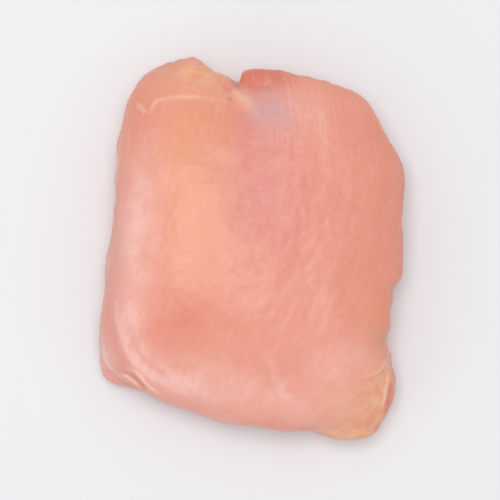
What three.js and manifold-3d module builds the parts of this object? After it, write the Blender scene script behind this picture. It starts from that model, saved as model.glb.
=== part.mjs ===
// A raw, boned and skinned chicken thigh, in millimetres, +Z up.
// It lies smooth side up, as it does in a tray. The two thick muscles of the thigh make the smooth top.
// The outer one rolls down over the left and front and runs on as a flap folded underneath, the inner
// one ends in a trimmed edge at the right and back with its own flap below it, and fat bulges out
// at the right front corner. +Y points away from the viewer, to the end where the two muscles part.
// The origin is under the middle of the thigh, on the plane that it rests on.

import * as THREE from "three";
import { mergeVertices } from "three/addons/utils/BufferGeometryUtils.js";
import Module from "manifold-3d";

const wasm = await Module();
wasm.setup();

// Driving dimensions.
const WIDTH = 77.2;
const LENGTH = 97.2;
const THICKNESS = 26;
const FLAP_THICKNESS = 11.5;

// How far a rounded underside would reach below the plane that the weight of the meat presses it flat on.
const PRESSED = 1.3;

// Each fold of meat is a pillow over a closed rim. Its rim holds the corners of its plan,
// counter-clockwise from above, as shares of the thigh's half width and half length, and its heart is
// where the pillow is thickest. It is widest at the height of its waist, and it leans by the given rise
// for each millimetre to the right and to the back. A squareness of 2 gives a round section, and more
// gives a flatter top with a tighter roll. Its softness is the width of the fillet that runs it into
// the folds before it.

const OUTER_MUSCLE = {
  rim: [
    [0.5, 0.0],
    [0.4, 0.4],
    [0.22, 0.68],
    [-0.08, 0.87],
    [-0.26, 0.915],
    [-0.38, 1.0],
    [-0.58, 0.97],
    [-0.76, 0.865],
    [-0.85, 0.65],
    [-0.88, 0.37],
    [-0.92, 0.05],
    [-0.955, -0.22],
    [-0.985, -0.42],
    [-0.955, -0.56],
    [-0.86, -0.655],
    [-0.66, -0.75],
    [-0.4, -0.83],
    [-0.08, -0.885],
    [0.25, -0.84],
    [0.5, -0.45],
  ],
  heart: [-0.34, -0.05],
  floor: 0.5,
  waist: 11,
  crown: THICKNESS,
  lean: [0, -0.015],
  squareness: 2.35,
  softness: 0,
};

const INNER_MUSCLE = {
  rim: [
    [0.985, 0.1],
    [0.975, 0.43],
    [0.83, 0.65],
    [0.67, 0.81],
    [0.35, 0.905],
    [0.1, 0.945],
    [-0.04, 0.91],
    [-0.3, 0.66],
    [-0.44, 0.05],
    [-0.32, -0.6],
    [-0.06, -0.86],
    [0.3, -0.91],
    [0.6, -0.87],
    [0.8, -0.72],
    [0.9, -0.5],
    [0.96, -0.22],
  ],
  heart: [0.32, 0.0],
  floor: 5,
  waist: 14.5,
  crown: THICKNESS - 1.2,
  lean: [-0.05, -0.01],
  squareness: 2.5,
  softness: 6,
};

const OUTER_FLAP = {
  rim: [
    [0.14, 0.1],
    [0.04, 0.62],
    [-0.28, 0.9],
    [-0.64, 0.88],
    [-0.83, 0.5],
    [-0.9, 0.0],
    [-0.985, -0.4],
    [-1.0, -0.61],
    [-0.9, -0.7],
    [-0.6, -0.76],
    [-0.2, -0.83],
    [0.03, -0.84],
    [0.12, -0.62],
    [0.06, -0.3],
  ],
  heart: [-0.42, 0.0],
  floor: -PRESSED,
  waist: 5.5,
  crown: FLAP_THICKNESS,
  lean: [0, 0],
  squareness: 2.6,
  softness: 3,
};

const INNER_FLAP = {
  rim: [
    [0.88, 0.05],
    [0.91, 0.24],
    [0.85, 0.46],
    [0.74, 0.6],
    [0.6, 0.77],
    [0.28, 0.85],
    [0.1, 0.7],
    [0.17, 0.3],
    [0.07, 0.0],
    [0.13, -0.4],
    [0.07, -0.7],
    [0.2, -0.86],
    [0.62, -0.86],
    [0.8, -0.6],
    [0.9, -0.38],
    [0.86, -0.18],
  ],
  heart: [0.5, 0.0],
  floor: -PRESSED,
  waist: 5,
  crown: FLAP_THICKNESS,
  lean: [0, 0],
  squareness: 2.8,
  softness: 0,
};

// The shoulder of fat at the right front corner, which the inner muscle runs on to.
const FAT_SHOULDER = {
  rim: [
    [0.97, -0.66],
    [0.93, -0.52],
    [0.8, -0.4],
    [0.5, -0.42],
    [0.3, -0.62],
    [0.26, -0.82],
    [0.42, -0.93],
    [0.62, -0.985],
    [0.78, -0.985],
    [0.9, -0.88],
    [0.955, -0.77],
  ],
  heart: [0.62, -0.68],
  floor: 2.5,
  waist: 9.5,
  crown: 18.5,
  lean: [-0.06, 0.06],
  squareness: 2.4,
  softness: 3.5,
};

// Below that shoulder the fat is a cluster of soft lumps, each a pillow over an ellipse. The middle of a
// lump is given as a corner of a rim is, and its size in millimetres.
const FAT_LUMPS = [
  { middle: [0.66, -0.74], across: 19, along: 19, crown: 11 },
  { middle: [0.82, -0.66], across: 9, along: 16, crown: 10 },
  { middle: [0.77, -0.86], across: 11, along: 9, crown: 9.5 },
  { middle: [0.52, -0.85], across: 16, along: 10, crown: 10.5 },
];

// How many corners the rim of a lump has, and how high up a lump is widest, as a share of its crown.
const LUMP_CORNERS = 12;
const LUMP_WAIST = 0.42;

// The runs of meat that each lie under one smooth skin, with how finely each skin is divided.
const RUNS = [
  { folds: [OUTER_MUSCLE, INNER_MUSCLE, OUTER_FLAP, FAT_SHOULDER], around: 96, rings: 44 },
  { folds: [INNER_FLAP], around: 52, rings: 20 },
  ...FAT_LUMPS.map((lump) => ({ folds: [lumpFold(lump)], around: 24, rings: 14 })),
];

// A lump of fat as a fold of its own.
function lumpFold({ middle, across, along, crown }) {
  const rim = Array.from({ length: LUMP_CORNERS }, (_, i) => {
    const turn = (i / LUMP_CORNERS) * 2 * Math.PI;
    return [
      middle[0] + (across / WIDTH) * Math.cos(turn),
      middle[1] + (along / LENGTH) * Math.sin(turn),
    ];
  });
  return {
    rim,
    heart: middle,
    floor: -PRESSED,
    waist: LUMP_WAIST * crown,
    crown,
    lean: [-0.1, 0.1],
    squareness: 2.5,
    softness: 0,
  };
}

// How finely a rim is measured, and how often and from how far out the search for the skin halves.
const RIM_STEPS = 360;
const SEARCH_STEPS = 24;
const SEARCH_REACH = 2;

// Lengths under these are nothing to a direction and to the gap between two vertices.
const TINY = 1e-6;
const WELD = 1e-3;

// A corner of a rim in millimetres.
function planPoint([across, along]) {
  return new THREE.Vector3((across * WIDTH) / 2, (along * LENGTH) / 2, 0);
}

// How far a fold's rim lies from its heart, as a function of the direction in plan.
function reachOf({ rim, heart }) {
  const centre = planPoint(heart);
  const curve = new THREE.CatmullRomCurve3(rim.map(planPoint), true);
  const spokes = curve
    .getSpacedPoints(RIM_STEPS)
    .slice(1)
    .map((point) => point.sub(centre))
    .map((spoke) => ({ turn: Math.atan2(spoke.y, spoke.x), length: spoke.length() }))
    .sort((a, b) => a.turn - b.turn);
  return (turn) => {
    const found = spokes.findIndex((spoke) => spoke.turn > turn);
    const next = found < 0 ? 0 : found;
    const last = (next + spokes.length - 1) % spokes.length;
    const full = 2 * Math.PI;
    const gap = (spokes[next].turn - spokes[last].turn + full) % full;
    const share = ((turn - spokes[last].turn + full) % full) / gap;
    return THREE.MathUtils.lerp(spokes[last].length, spokes[next].length, share);
  };
}

// The signed distance from a fold's surface, measured along the line to its heart and negative inside.
function distanceOf(fold) {
  const { floor, waist, crown, lean, squareness } = fold;
  const centre = planPoint(fold.heart);
  const reach = reachOf(fold);
  return (point) => {
    const across = point.x - centre.x;
    const along = point.y - centre.y;
    const up = point.z - waist - lean[0] * across - lean[1] * along;
    const spread = Math.hypot(across, along) / reach(Math.atan2(along, across));
    const rise = up > 0 ? up / (crown - waist) : up / (floor - waist);
    const size = Math.hypot(spread ** (squareness / 2), rise ** (squareness / 2)) ** (2 / squareness);
    const length = Math.hypot(across, along, up);
    return length - length / Math.max(size, TINY);
  };
}

// The lesser of two distances, rounded off where they are within the given width of each other.
function softMinimum(a, b, width) {
  const overlap = Math.max(width - Math.abs(a - b), 0);
  return overlap > 0 ? Math.min(a, b) - overlap ** 2 / (4 * width) : Math.min(a, b);
}

// The signed distance from the one skin over several folds.
function skinOf(folds) {
  const distances = folds.map((fold) => ({ to: distanceOf(fold), softness: fold.softness }));
  return (point) =>
    distances.reduce(
      (nearest, { to, softness }) => softMinimum(nearest, to(point), softness),
      Infinity,
    );
}

// A closed skin over a run of folds: a sphere whose points are carried out, each along its own line
// from the middle of the run, until they meet the skin.
function runGeometry({ folds, around, rings }) {
  const plan = new THREE.Box3().setFromPoints(folds.flatMap(({ rim }) => rim.map(planPoint)));
  const core = plan.getCenter(new THREE.Vector3());
  const half = plan.getSize(new THREE.Vector3()).divideScalar(2);
  core.z = folds[0].waist;
  half.z = folds[0].crown - folds[0].waist;
  const skin = skinOf(folds);
  const squareness = folds[0].squareness;
  const geometry = new THREE.SphereGeometry(1, around, rings).rotateX(Math.PI / 2);
  const position = geometry.getAttribute("position");
  const ray = new THREE.Vector3();
  const point = new THREE.Vector3();
  for (let i = 0; i < position.count; i++) {
    ray.fromBufferAttribute(position, i);
    const level = Math.hypot(ray.x, ray.y);
    const spread = level > TINY ? level ** (2 / squareness - 1) : 0;
    const lift = Math.sign(ray.z) * Math.abs(ray.z) ** (2 / squareness);
    ray.set(ray.x * spread * half.x, ray.y * spread * half.y, lift * half.z);
    let inside = 0;
    let outside = SEARCH_REACH;
    for (let step = 0; step < SEARCH_STEPS; step++) {
      const middle = (inside + outside) / 2;
      point.copy(core).addScaledVector(ray, middle);
      if (skin(point) < 0) {
        inside = middle;
      } else {
        outside = middle;
      }
    }
    position.setXYZ(i, point.x, point.y, point.z);
  }
  return geometry;
}

// A closed surface as a solid that can be joined and cut.
function solidOf(geometry) {
  const bare = geometry.clone();
  bare.deleteAttribute("normal");
  bare.deleteAttribute("uv");
  const merged = mergeVertices(bare, WELD);
  return new wasm.Manifold(
    new wasm.Mesh({
      numProp: 3,
      vertProperties: merged.getAttribute("position").array,
      triVerts: new Uint32Array(merged.getIndex().array),
    }),
  );
}

function geometryOf(solid) {
  const mesh = solid.getMesh();
  const geometry = new THREE.BufferGeometry();
  geometry.setAttribute("position", new THREE.BufferAttribute(mesh.vertProperties, 3));
  geometry.setIndex(new THREE.BufferAttribute(mesh.triVerts, 1));
  geometry.computeVertexNormals();
  return geometry;
}

// Everything under the plane that the thigh rests on.
function belowFloor() {
  const block = new THREE.BoxGeometry(2 * WIDTH, 2 * LENGTH, THICKNESS);
  return solidOf(block.translate(0, 0, -THICKNESS / 2));
}

// The runs joined into the one piece of meat, over the middle of its own outline.
function thighGeometry() {
  const whole = RUNS.map((run) => solidOf(runGeometry(run)))
    .reduce((joined, run) => joined.add(run))
    .subtract(belowFloor());
  const geometry = geometryOf(whole);
  geometry.computeBoundingBox();
  const middle = geometry.boundingBox.getCenter(new THREE.Vector3());
  return geometry.translate(-middle.x, -middle.y, 0);
}

const rawMeat = new THREE.MeshStandardMaterial({
  color: new THREE.Color().setRGB(0.92, 0.63, 0.55, THREE.SRGBColorSpace),
  roughness: 0.35,
  metalness: 0,
});

const thigh = new THREE.Mesh(thighGeometry(), rawMeat);
thigh.name = "chicken_thigh";

const part = new THREE.Group();
part.add(thigh);

export default part;
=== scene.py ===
"""The looks of a raw, boned and skinned chicken thigh that lies smooth side up.

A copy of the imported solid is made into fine, wet meat. Its facets are smoothed away and its creases are
kept, then each fold of the meat presses its own marks into the mesh and stains it with its own tints.
Lengths on the meat are in millimetres. Places on it are shares: of the thigh's half width across, of its
half length along, and of its whole height up. The meshes, the lights and the camera are in metres.
"""

import logging
from dataclasses import dataclass
from enum import Enum
from typing import Any, ClassVar, NamedTuple, Protocol

import bpy
import numpy as np
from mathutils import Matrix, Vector, noise
from mathutils.bvhtree import BVHTree


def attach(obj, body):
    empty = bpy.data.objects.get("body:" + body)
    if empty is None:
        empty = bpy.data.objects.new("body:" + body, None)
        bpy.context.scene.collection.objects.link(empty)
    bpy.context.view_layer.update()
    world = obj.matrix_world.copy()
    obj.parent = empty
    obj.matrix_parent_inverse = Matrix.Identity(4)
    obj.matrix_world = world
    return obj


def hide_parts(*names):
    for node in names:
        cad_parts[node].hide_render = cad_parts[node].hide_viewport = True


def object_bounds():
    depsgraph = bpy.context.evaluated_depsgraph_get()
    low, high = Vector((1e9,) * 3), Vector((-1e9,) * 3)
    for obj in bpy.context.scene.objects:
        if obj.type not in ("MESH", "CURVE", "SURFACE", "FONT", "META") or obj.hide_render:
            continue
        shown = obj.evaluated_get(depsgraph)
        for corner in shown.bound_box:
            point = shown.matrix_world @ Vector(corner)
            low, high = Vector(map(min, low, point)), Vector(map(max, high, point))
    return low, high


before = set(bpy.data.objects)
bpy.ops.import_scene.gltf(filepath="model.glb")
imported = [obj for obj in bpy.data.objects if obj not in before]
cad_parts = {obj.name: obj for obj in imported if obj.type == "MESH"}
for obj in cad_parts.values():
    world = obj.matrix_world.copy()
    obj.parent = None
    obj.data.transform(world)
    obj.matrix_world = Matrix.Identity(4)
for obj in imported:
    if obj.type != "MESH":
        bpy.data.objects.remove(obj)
CAD_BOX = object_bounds()

LOG = logging.getLogger("chicken_thigh")
MM = 0.001
MICRON = 0.001 * MM
LOW, HIGH = (np.array(corner) / MM for corner in CAD_BOX)
MIDDLE = (LOW + HIGH) / 2
HALF = (HIGH - LOW) / 2

# A reach up and down that takes in the whole height.
THROUGH = 20.0
# The distance between the points of a route's curve.
CURVE_STEP = 0.4
# How far above or below the middle a route is laid from, in half heights.
RAY_START = 4
# The middle of a shader's noise, which runs from 0 to 1.
NOISE_MIDDLE = 0.5
# The attributes of the mesh that the finish reads besides the tints.
# The painted shade in the creases, from 0 to 1.
CREASE_SHADE = "crease"
GRAIN = "grain"

Colour = tuple[float, float, float, float]
Triple = tuple[float, float, float]
Span = tuple[float, float]


def screen(red: int, green: int, blue: int) -> Colour:
    """Turns a colour as a screen shows it into linear light.

    Args:
        red: From 0 to 255.
        green: From 0 to 255.
        blue: From 0 to 255.

    Returns:
        Red, green, blue and full alpha.
    """
    shares = [channel / 255 for channel in (red, green, blue)]
    linear = [s / 12.92 if s <= 0.04045 else ((s + 0.055) / 1.055) ** 2.4 for s in shares]
    return (linear[0], linear[1], linear[2], 1.0)


def smoothstep(low: float, high: float, values: np.ndarray) -> np.ndarray:
    """Rises smoothly from 0 at low to 1 at high.

    Args:
        low: Where the rise starts.
        high: Where it ends.
        values: The numbers to grade.

    Returns:
        The grades, from 0 to 1.
    """
    share = np.clip((values - low) / (high - low), 0, 1)
    return share * share * (3 - 2 * share)


@dataclass(frozen=True)
class Blotches:
    """Soft, even blotches over the meat.

    Attributes:
        size: The width of a blotch.
        seed: Which blotches.
        strength: How far they swing from their level, either way.
        level: What they swing about.
    """

    size: float
    seed: int
    strength: float = 1.0
    level: float = 0.0

    seed_steps: ClassVar[Triple] = (17.3, 5.1, 29.7)

    def on(self, points: np.ndarray) -> np.ndarray:
        """Works out the blotches.

        Args:
            points: Where.

        Returns:
            Their value at each point.
        """
        shift = Vector([self.seed * step for step in self.seed_steps])
        swings = np.array([noise.noise(Vector(point) + shift) for point in points / self.size])
        return self.level + self.strength * swings


@dataclass(frozen=True)
class Lumps:
    """Round lumps with creases between them, as fat has.

    Attributes:
        size: The width of a lump.
        seed: Which lumps.
        strength: How high a lump stands over a crease.
        level: The share of that height that lies at the surface.
    """

    size: float
    seed: int
    strength: float
    level: float = 0.6

    seed_steps: ClassVar[Triple] = (11.9, 23.1, 7.7)

    def on(self, points: np.ndarray) -> np.ndarray:
        """Works out the lumps.

        Args:
            points: Where.

        Returns:
            Their height at each point.
        """
        shift = Vector([self.seed * step for step in self.seed_steps])
        tops = np.array([1 - noise.voronoi(Vector(point) + shift)[0][0] for point in points / self.size])
        return self.strength * (tops - self.level)


class Side(Enum):
    """The way a route is laid on the thigh."""

    TOP = "dropped from above"
    UNDERSIDE = "raised from below"
    ROUND = "drawn to the nearest surface"


class Slope(Enum):
    """What counts as sloping: how far up a vertex faces where it counts fully, and where not at all."""

    SIDE = (0.1, 0.7)
    STEEP = (-0.2, 0.45)


class Tint(Enum):
    """What shows at the surface in place of plain flesh, under the name of its attribute."""

    WARM = "warm"
    ROSE = "rose"
    BARE = "bare"
    # Pale film; in places it also paints a sheen.
    FILM_AND_SHEEN = "film"
    # A painted reflection and sheen, in lilac.
    LILAC_REFLECTION = "lilac"
    STRIAE = "striae"
    PALE = "pale"
    FAT = "fat"


class Place(NamedTuple):
    """A place as shares of the thigh's half width, half length and whole height."""

    across: float
    along: float
    up: float = 1.0

    def point(self) -> np.ndarray:
        """Gives the place in millimetres."""
        return MIDDLE + HALF * np.array([self.across, self.along, 2 * self.up - 1])


Route = list[Place]


def route(*places: tuple[float, ...]) -> Route:
    """Makes a route of the places that it passes."""
    return [Place(*place) for place in places]


def curve_through(points: np.ndarray, step: float) -> np.ndarray:
    """Draws a smooth curve through a few points.

    Args:
        points: The points, in order.
        step: The distance between the points of the curve.

    Returns:
        The points of the curve.
    """
    padded = np.concatenate([[2 * points[0] - points[1]], points, [2 * points[-1] - points[-2]]])
    out = []
    for before, start, end, after in zip(padded, padded[1:], padded[2:], padded[3:]):
        count = max(2, int(np.linalg.norm(end - start) / step))
        t = np.linspace(0, 1, count, endpoint=False)[:, None]
        bend = 2 * before - 5 * start + 4 * end - after
        twist = 3 * start - before - 3 * end + after
        out.append(start + 0.5 * t * (end - before + t * (bend + t * twist)))
    return np.concatenate([*out, points[-1:]])


class Nearby(NamedTuple):
    """The vertices near a line, how far off it they are, and where along it they lie."""

    index: np.ndarray
    offset: np.ndarray
    share: np.ndarray
    ahead: np.ndarray


class Skin:
    """The mesh of a piece as arrays in millimetres, so that marks can be pressed and painted on it."""

    def __init__(self, piece: bpy.types.Object) -> None:
        """Reads the mesh.

        Args:
            piece: The mesh object, at the origin.
        """
        self.mesh = piece.data
        count = len(self.mesh.vertices)
        points = np.empty(count * 3, np.float32)
        self.mesh.vertices.foreach_get("co", points)
        self.points = points.reshape(count, 3) / MM
        edges = np.empty(len(self.mesh.edges) * 2, np.int32)
        self.mesh.edges.foreach_get("vertices", edges)
        self.edges = edges.reshape(-1, 2)
        self.neighbours = np.bincount(self.edges.ravel(), minlength=count)[:, None]
        self.read_normals()
        corners = [polygon.vertices[:] for polygon in self.mesh.polygons]
        self.tree = BVHTree.FromPolygons([Vector(point) for point in self.points], corners)

    def read_normals(self) -> None:
        """Reads the direction that each vertex faces."""
        normals = np.empty(len(self.points) * 3, np.float32)
        self.mesh.vertices.foreach_get("normal", normals)
        self.normals = normals.reshape(-1, 3).astype(float)

    def push(self, moves: np.ndarray) -> None:
        """Moves the vertices, and keeps them above the plane that the thigh rests on.

        Args:
            moves: How far along each axis, for each vertex.
        """
        self.points = self.points + moves
        self.points[:, 2] = np.maximum(self.points[:, 2], 0)
        self.mesh.vertices.foreach_set("co", (self.points * MM).astype(np.float32).ravel())
        self.mesh.update()
        self.read_normals()

    def sloping(self, slope: Slope) -> np.ndarray:
        """Grades how much each vertex counts as sloping, from 0 to 1."""
        return 1 - smoothstep(*slope.value, self.normals[:, 2])

    def blurred(self, values: np.ndarray, rounds: int) -> np.ndarray:
        """Evens out rows of numbers over the surface.

        Args:
            values: One row for each vertex.
            rounds: How often each vertex takes the mean of its neighbours and itself.

        Returns:
            The evened rows.
        """
        first, second = self.edges.T
        out = values
        for _ in range(rounds):
            total = out.copy()
            np.add.at(total, first, out[second])
            np.add.at(total, second, out[first])
            out = total / (self.neighbours + 1.0)
        return out

    def evening(self, rounds: int) -> np.ndarray:
        """Gives the move that would take each vertex to the evened surface."""
        return self.blurred(self.points, rounds) - self.points

    def hollows(self, rounds: int) -> np.ndarray:
        """Measures how deep each vertex lies in a hollow.

        Args:
            rounds: How wide the hollows are, as rounds of evening out.

        Returns:
            Millimetres, negative on ridges.
        """
        return (self.evening(rounds) * self.normals).sum(1)

    def laid(self, places: Route, side: Side) -> np.ndarray:
        """Lays a route on the surface.

        Args:
            places: The places that it passes.
            side: How it is laid.

        Returns:
            Points along it, on the surface.
        """
        line = curve_through(np.array([place.point() for place in places]), CURVE_STEP)
        found = []
        for point in line:
            hit = None
            if side is not Side.ROUND:
                way = -1 if side is Side.TOP else 1
                start = Vector((point[0], point[1], MIDDLE[2] - way * RAY_START * HALF[2]))
                hit = self.tree.ray_cast(start, Vector((0, 0, way)))[0]
            found.append(hit or self.tree.find_nearest(Vector(point))[0])
        return np.array(found)

    def beside(self, line: np.ndarray, reach: float) -> Nearby:
        """Finds the vertices near a line.

        Args:
            line: Points along it.
            reach: How far off they may be.

        Returns:
            The vertices, each with the nearest point of the line.
        """
        inside = (self.points > line.min(0) - reach) & (self.points < line.max(0) + reach)
        index = np.flatnonzero(inside.all(1))
        gaps = ((self.points[index][:, None] - line[None]) ** 2).sum(2)
        nearest = gaps.argmin(1)
        ahead = np.gradient(line, axis=0)
        ahead /= np.linalg.norm(ahead, axis=1)[:, None]
        offset = self.points[index] - line[nearest]
        return Nearby(index, offset, nearest / (len(line) - 1), ahead[nearest])

    def paint(self, name: str, values: np.ndarray) -> None:
        """Writes one number, or three, for each vertex as a named attribute.

        Args:
            name: The attribute's name, as the finish reads it.
            values: The numbers.
        """
        kind, key = ("FLOAT", "value") if values.ndim == 1 else ("FLOAT_VECTOR", "vector")
        layer = self.mesh.attributes.new(name, kind, "POINT")
        layer.data.foreach_set(key, values.astype(np.float32).ravel())


class Mark(Protocol):
    """Something that can be pressed into the meat."""

    def moves(self, skin: Skin) -> np.ndarray:
        """Gives how far it moves each vertex along each axis."""


class Area(Protocol):
    """Something that can be stained on the meat."""

    def grades(self, skin: Skin) -> np.ndarray:
        """Gives how strongly it holds at each vertex, from 0 to 1."""


@dataclass(frozen=True)
class Seam:
    """A narrow line along a route: a raised membrane, or a groove.

    Attributes:
        route: The places that it passes.
        width: How far off its middle it has fallen to about a third.
        lift: How high it stands, negative for a groove.
        side: How it is laid.
        taper: The share of its length over which each end fades.
    """

    route: Route
    width: float
    lift: float = 0.0
    side: Side = Side.TOP
    taper: float = 0.25

    widths_felt: ClassVar[float] = 3

    def grades(self, skin: Skin) -> np.ndarray:
        """Grades how near the line each vertex is, fading towards the line's ends.

        Args:
            skin: The surface.

        Returns:
            1 on the line, 0 away from it.
        """
        near = skin.beside(skin.laid(self.route, self.side), self.widths_felt * self.width)
        ends = smoothstep(0, self.taper, near.share) * smoothstep(0, self.taper, 1 - near.share)
        out = np.zeros(len(skin.points))
        out[near.index] = np.exp(-(near.offset**2).sum(1) / self.width**2) * ends
        return out

    def moves(self, skin: Skin) -> np.ndarray:
        """Gives how far the line moves each vertex."""
        return skin.normals * (self.lift * self.grades(skin))[:, None]


@dataclass(frozen=True)
class Ledge:
    """A step along a route: the meat on the left of the route lies over the meat on its right.

    Attributes:
        route: The places that it passes.
        rise: How far the meat on the left is lifted.
        drop: How far the meat on the right is pressed down.
        upper: How far to the left the rise has fallen to about a third.
        lower: How far to the right the drop has.
        edge: Half the width over which the one turns into the other.
        side: How the route is laid.
        fade: The share of its length over which it starts.
    """

    route: Route
    rise: float
    drop: float
    upper: float
    lower: float
    edge: float
    side: Side = Side.TOP
    fade: float = 0.5

    widths_felt: ClassVar[float] = 2.5

    def moves(self, skin: Skin) -> np.ndarray:
        """Gives how far the step moves each vertex.

        Args:
            skin: The surface.

        Returns:
            The moves.
        """
        reach = self.widths_felt * max(self.upper, self.lower)
        near = skin.beside(skin.laid(self.route, self.side), reach)
        normals = skin.normals[near.index]
        leftward = np.cross(normals, near.ahead)
        left = (leftward * near.offset).sum(1)
        gap = np.linalg.norm(near.offset, axis=1)
        above = self.rise * np.exp(-((gap / self.upper) ** 2))
        below = -self.drop * np.exp(-((gap / self.lower) ** 2))
        share = smoothstep(-self.edge, self.edge, left)
        lift = (share * above + (1 - share) * below) * smoothstep(0, self.fade, near.share)
        out = np.zeros_like(skin.points)
        out[near.index] = normals * lift[:, None]
        return out


@dataclass(frozen=True)
class Swell:
    """A soft round swelling, or a dent.

    Attributes:
        centre: Its middle.
        reach: How far off its middle it has fallen to about a third: across, along and up.
        lift: How high it stands, negative for a dent.
        turn: How far it is turned to the left, in degrees.
    """

    centre: Place
    reach: Triple
    lift: float = 0.0
    turn: float = 0.0

    def grades(self, skin: Skin) -> np.ndarray:
        """Grades how near the middle of the swelling each vertex is.

        Args:
            skin: The surface.

        Returns:
            1 in the middle, 0 away from it.
        """
        offset = skin.points - self.centre.point()
        angle = np.radians(self.turn)
        across = offset[:, 0] * np.cos(angle) + offset[:, 1] * np.sin(angle)
        along = offset[:, 1] * np.cos(angle) - offset[:, 0] * np.sin(angle)
        local = np.stack([across, along, offset[:, 2]], axis=1) / np.array(self.reach)
        return np.exp(-(local**2).sum(1))

    def moves(self, skin: Skin) -> np.ndarray:
        """Gives how far the swelling moves each vertex."""
        return skin.normals * (self.lift * self.grades(skin))[:, None]


@dataclass(frozen=True)
class Tug:
    """A pinch of meat pulled one way.

    Attributes:
        centre: Its middle.
        reach: How far the pinch reaches across, along and up.
        pull: How far its middle is pulled along each axis.
    """

    centre: Place
    reach: Triple
    pull: Triple

    def moves(self, skin: Skin) -> np.ndarray:
        """Gives how far the pinch moves each vertex."""
        return Swell(self.centre, self.reach).grades(skin)[:, None] * np.array(self.pull)


@dataclass(frozen=True)
class Melt:
    """A place where the meat runs together, so that its creases close.

    Attributes:
        centre: Its middle.
        reach: How far it reaches across, along and up.
        rounds: How often the surface is evened out there.
    """

    centre: Place
    reach: Triple
    rounds: int

    def moves(self, skin: Skin) -> np.ndarray:
        """Gives how far each vertex moves towards the even surface."""
        return skin.evening(self.rounds) * Swell(self.centre, self.reach).grades(skin)[:, None]


class Stain(NamedTuple):
    """A tint laid over an area, or taken away there where the strength is negative."""

    tint: Tint
    area: Area
    strength: float


class Fold(Protocol):
    """A fold of the meat, with its own marks and tints."""

    def marks(self) -> dict[str, Mark]:
        """Names what is pressed into it, in order."""

    def stains(self) -> dict[str, Stain]:
        """Names what tints it."""


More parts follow.
